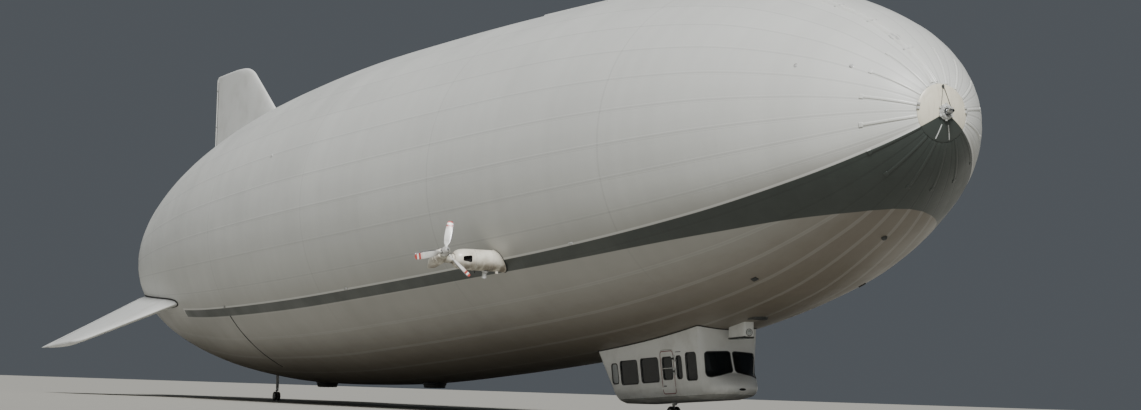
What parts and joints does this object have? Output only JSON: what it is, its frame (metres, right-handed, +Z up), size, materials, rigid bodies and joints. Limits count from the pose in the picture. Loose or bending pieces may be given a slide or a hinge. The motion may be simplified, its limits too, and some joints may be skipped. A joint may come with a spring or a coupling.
{
  "type": "airship, 1:2 scale model",
  "caption": "Semi-rigid passenger airship at half size: streamlined hull, tail fins, gondola, swivelling side and stern propellers, in-line landing gear.",
  "frame": {"origin": "the centre of lift: on the hull's axis, 36 full-size metres aft of the hull's nose", "axes": "+X forward, +Y to port, +Z up; the hull's axis is pitched 2.55 degrees nose-up about Y, as it stands on its wheels"},
  "size_m": [37.6788, 9.226, 8.4606],
  "materials": {
    "hull": "satin laminate, light grey with a dark green-grey band",
    "cream": "satin cream paint",
    "fin": "satin white",
    "gondola": "gloss white paint",
    "glass": "tinted acrylic",
    "door": "gloss white paint, red edge band",
    "dark": "matt dark grey",
    "engine": "cast",
    "steel": "brushed",
    "blade": "white composite with red tip bands",
    "tyre": "black rubber",
    "seat": "woven blue-grey"
  },
  "bodies": {
    "hull": {"envelope": "hull", "nose_cone": "cream", "mooring_ring": "fin", "mooring_probe": "steel", "top_fin": "fin", "starboard_fin": "fin", "port_fin": "fin", "starboard_nacelle": "cream", "port_nacelle": "cream", "starboard_engine": "engine", "port_engine": "engine", "starboard_exhaust": "steel", "port_exhaust": "steel", "stern_cone": "cream", "stern_engine": "engine", "starboard_wall": "gondola", "port_wall": "gondola", "starboard_front_glazing": "glass", "port_front_glazing": "glass", "starboard_rear_glazing": "glass", "port_rear_glazing": "glass", "gondola_nose": "gondola", "windscreen": "glass", "gondola_rear_wall": "gondola", "gondola_floor": "gondola", "gondola_roof": "gondola", "passenger_seats": "seat", "pilot_seats": "seat", "instrument_panel": "dark", "gondola_gear_leg": "dark", "tail_gear_leg": "dark", "light_box": "gondola", "gas_valve": "dark", "front_belly_fitting": "dark", "rear_belly_fitting": "dark"},
    "rudder": {"rudder": "fin"},
    "starboard_elevator": {"starboard_elevator": "fin"},
    "port_elevator": {"port_elevator": "fin"},
    "starboard_swivel": {"starboard_swivel": "cream"},
    "starboard_propeller": {"starboard_propeller": "blade"},
    "port_swivel": {"port_swivel": "cream"},
    "port_propeller": {"port_propeller": "blade"},
    "rear_swivel": {"rear_swivel": "cream"},
    "rear_propeller": {"rear_propeller": "blade"},
    "lateral_propeller": {"lateral_propeller": "blade"},
    "starboard_door": {"starboard_door": "door", "starboard_door_pane": "glass"},
    "port_door": {"port_door": "door", "port_door_pane": "glass"},
    "gondola_fork": {"gondola_gear_fork": "steel"},
    "gondola_wheels": {"gondola_gear_wheels": "tyre"},
    "tail_fork": {"tail_gear_fork": "steel"},
    "tail_wheels": {"tail_gear_wheels": "tyre"}
  },
  "joints": [
    {"name": "rudder_hinge", "type": "hinge", "parent": "hull", "child": "rudder", "pos_m": [-15.19082, 0, 2.82694], "axis": [-0.0445, 0, 0.999], "range_deg": [-9, 41]},
    {"name": "starboard_elevator_hinge", "type": "hinge", "parent": "hull", "child": "starboard_elevator", "pos_m": [-14.96199, -3.09032, -2.31112], "axis": [0.0209, -0.8829, -0.469], "range_deg": [-25, 25]},
    {"name": "port_elevator_hinge", "type": "hinge", "parent": "hull", "child": "port_elevator", "pos_m": [-14.96199, 3.09032, -2.31112], "axis": [0.0209, 0.8829, -0.469], "range_deg": [-25, 25]},
    {"name": "starboard_tilt", "type": "hinge", "parent": "hull", "child": "starboard_swivel", "pos_m": [8.11878, -4, -1.36514], "axis": [0, -1, 0], "range_deg": [-18, 102]},
    {"name": "starboard_propeller_spin", "type": "hinge", "parent": "starboard_swivel", "child": "starboard_propeller", "pos_m": [8.40905, -4, -1.25632], "axis": [0.9364, 0, 0.351], "continuous": true},
    {"name": "port_tilt", "type": "hinge", "parent": "hull", "child": "port_swivel", "pos_m": [8.11878, 4, -1.36514], "axis": [0, -1, 0], "range_deg": [-18, 102]},
    {"name": "port_propeller_spin", "type": "hinge", "parent": "port_swivel", "child": "port_propeller", "pos_m": [8.40905, 4, -1.25632], "axis": [0.9364, 0, 0.351], "continuous": true},
    {"name": "rear_tilt", "type": "hinge", "parent": "hull", "child": "rear_swivel", "pos_m": [-18.93123, 0, -0.8431], "axis": [0, -1, 0], "range_deg": [0, 90]},
    {"name": "rear_propeller_spin", "type": "hinge", "parent": "rear_swivel", "child": "rear_propeller", "pos_m": [-19.36081, 0, -0.86223], "axis": [-0.999, 0, -0.0445], "continuous": true},
    {"name": "lateral_propeller_spin", "type": "hinge", "parent": "hull", "child": "lateral_propeller", "pos_m": [-18.30685, 1, -0.8153], "axis": [0, 1, 0], "continuous": true},
    {"name": "starboard_door_hinge", "type": "hinge", "parent": "hull", "child": "starboard_door", "pos_m": [10.67329, -0.57, -3.02813], "axis": [-0.0442, -0.1084, 0.9931], "range_deg": [0, 100]},
    {"name": "port_door_hinge", "type": "hinge", "parent": "hull", "child": "port_door", "pos_m": [10.67329, 0.57, -3.02813], "axis": [0.0442, -0.1084, -0.9931], "range_deg": [0, 100]},
    {"name": "gondola_caster", "type": "hinge", "parent": "hull", "child": "gondola_fork", "pos_m": [9.78092, 0, -3.84865], "axis": [-0.0445, 0, 0.999], "continuous": true},
    {"name": "gondola_wheel_spin", "type": "hinge", "parent": "gondola_fork", "child": "gondola_wheels", "pos_m": [9.73764, 0, -4.00072], "axis": [0, 1, 0], "continuous": true},
    {"name": "tail_caster", "type": "hinge", "parent": "hull", "child": "tail_fork", "pos_m": [-10.08787, 0, -3.86865], "axis": [-0.0445, 0, 0.999], "continuous": true},
    {"name": "tail_wheel_spin", "type": "hinge", "parent": "tail_fork", "child": "tail_wheels", "pos_m": [-10.12615, 0, -4.0205], "axis": [0, 1, 0], "continuous": true}
  ]
}
